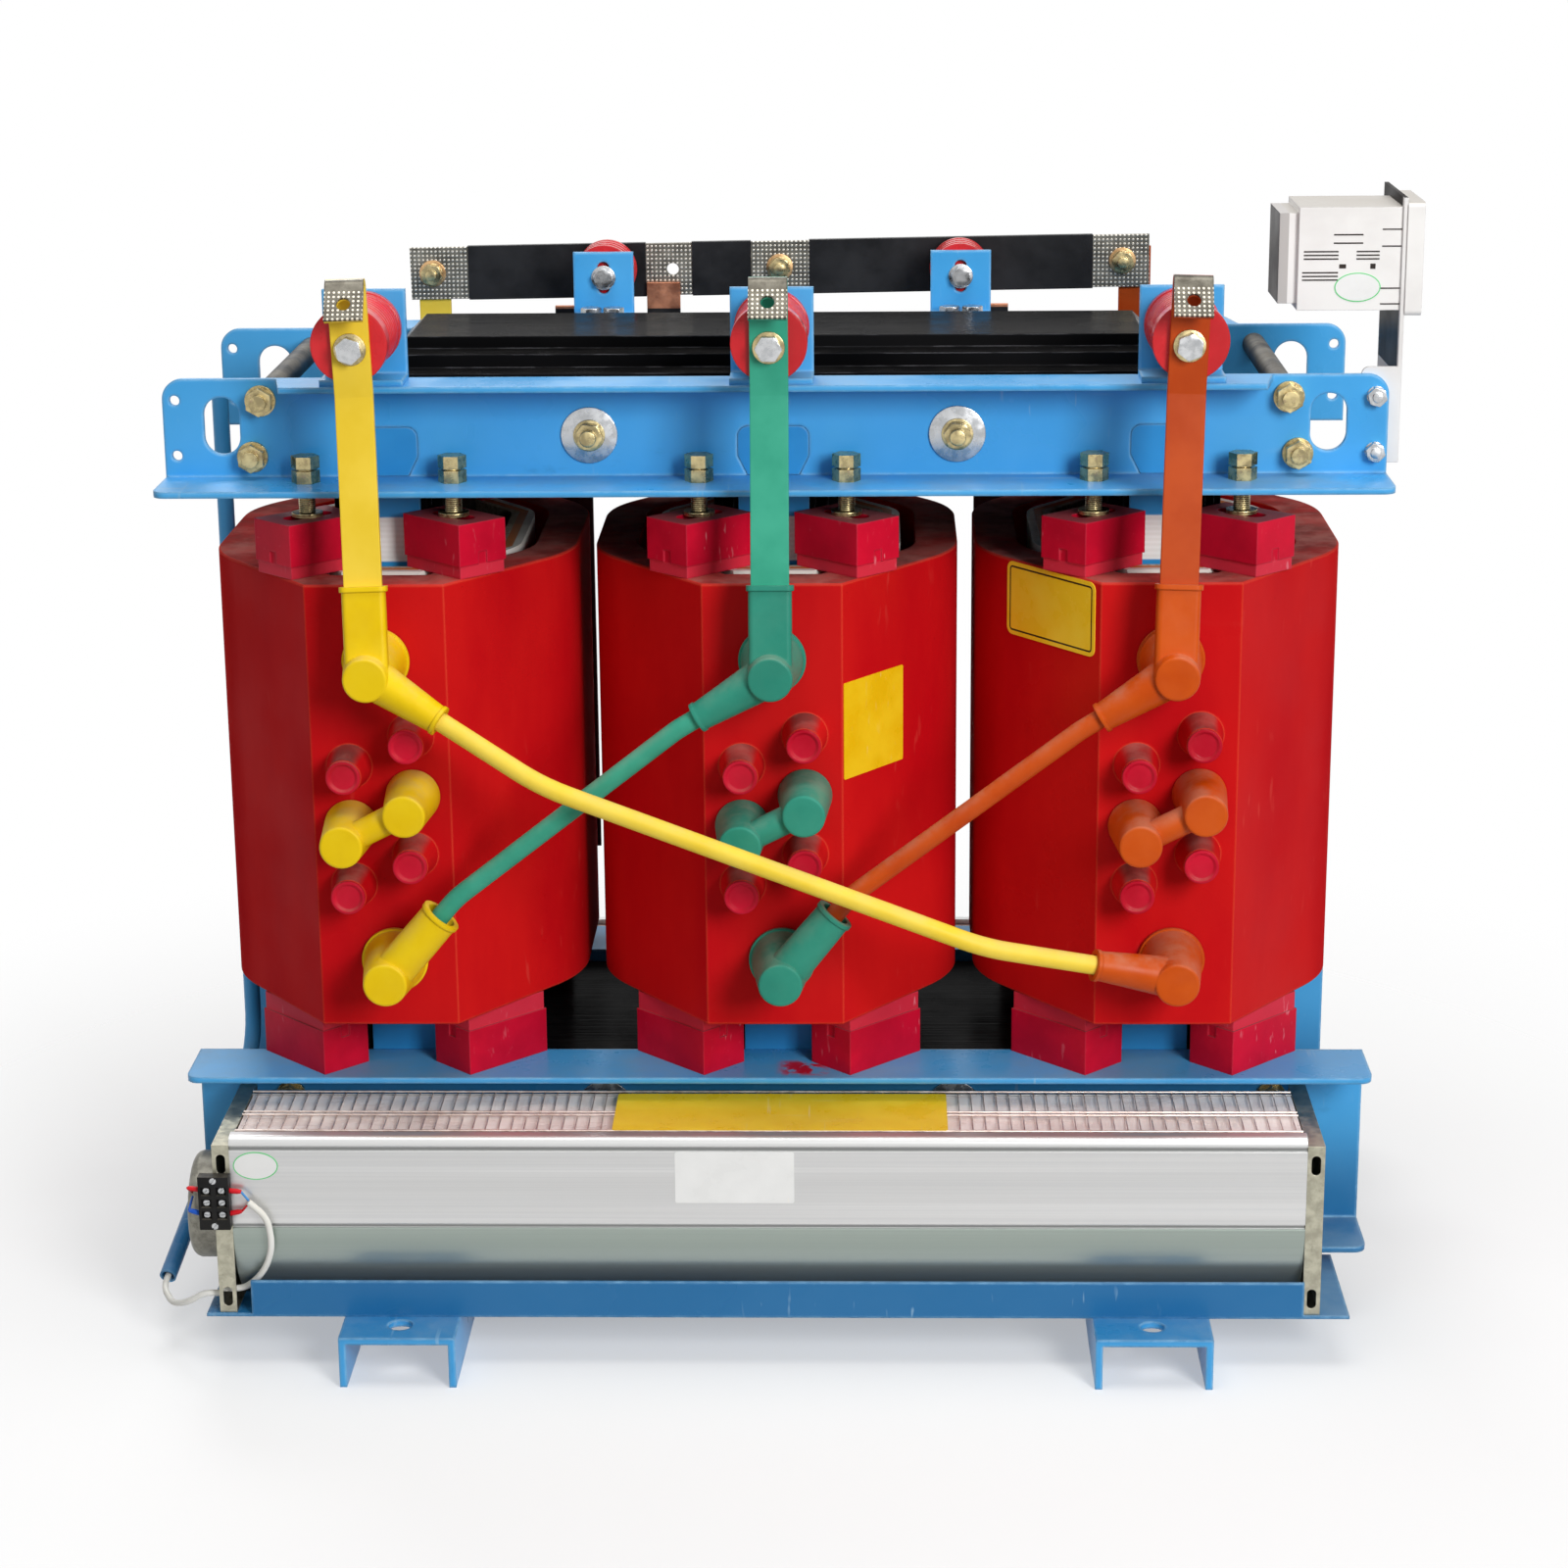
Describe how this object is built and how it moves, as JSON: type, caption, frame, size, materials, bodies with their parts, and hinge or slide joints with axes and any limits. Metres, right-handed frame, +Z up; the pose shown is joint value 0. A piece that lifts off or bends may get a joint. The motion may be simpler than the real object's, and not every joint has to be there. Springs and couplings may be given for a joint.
{
  "type": "power transformer",
  "caption": "Dry-type cast resin power transformer with red coils on a blue clamped core, coloured high voltage links, cooling fans on trays and a temperature controller.",
  "frame": {"origin": "floor level, under the middle coil", "axes": "X along the three coils, +Y from the high voltage side to the back, +Z up"},
  "size_m": [1.2458, 0.796, 1.12],
  "materials": {
    "core_black": "glossy black lacquer on laminations",
    "resin_red": "satin cast resin",
    "lv_wound": "resin impregnated foil winding",
    "clamp_blue": "satin paint",
    "block_crimson": "moulded",
    "zinc_yellow": "yellow zinc",
    "sleeve_black": "matt",
    "fan_aluminium": "drawn",
    "fan_zinc": "galvanised",
    "post_red": "glossy",
    "phase_yellow": "satin",
    "phase_green": "satin",
    "phase_orange": "satin",
    "cap_crimson": "moulded",
    "neutral_black": "satin sleeve on tinned copper",
    "copper": "bare copper",
    "meter_white": "powder coat",
    "meter_case": "moulded",
    "cable_white": "satin cable sheath"
  },
  "bodies": {
    "root": {"core_limbs": "core_black", "upper_yoke": "core_black", "lower_yoke": "core_black", "pull_plates": "clamp_blue", "hv_coil_a": "resin_red", "hv_coil_b": "resin_red", "hv_coil_c": "resin_red", "lv_coil_a": "lv_wound", "lv_coil_b": "lv_wound", "lv_coil_c": "lv_wound", "upper_clamp_front": "clamp_blue", "upper_clamp_back": "clamp_blue", "lower_clamp_front": "clamp_blue", "lower_clamp_back": "clamp_blue", "top_blocks": "block_crimson", "bottom_blocks": "block_crimson", "press_bolts": "zinc_yellow", "tie_rods": "zinc_yellow", "rod_sleeves": "sleeve_black", "foot_left": "clamp_blue", "foot_right": "clamp_blue", "fan_trays": "clamp_blue", "fan_ends": "fan_zinc", "fan_housings": "fan_aluminium", "fan_rotors": "fan_aluminium", "fan_motors": "fan_zinc", "post_brackets": "clamp_blue", "hv_posts": "post_red", "hv_bar_a": "phase_yellow", "hv_bar_b": "phase_green", "hv_bar_c": "phase_orange", "hv_boots_a": "phase_yellow", "hv_boots_b": "phase_green", "hv_boots_c": "phase_orange", "delta_tube_a": "phase_yellow", "delta_tube_b": "phase_green", "delta_tube_c": "phase_orange", "tap_caps": "cap_crimson", "neutral_brackets": "clamp_blue", "neutral_posts": "post_red", "neutral_bar": "neutral_black", "lv_lead_a": "phase_yellow", "lv_lead_b": "phase_green", "lv_lead_c": "phase_orange", "lv_terminals": "copper", "meter_bracket": "meter_white", "meter_body": "meter_case", "meter_bezel": "meter_case", "conduit": "clamp_blue", "fan_terminals": "sleeve_black", "fan_cable": "cable_white"}
  },
  "joints": []
}
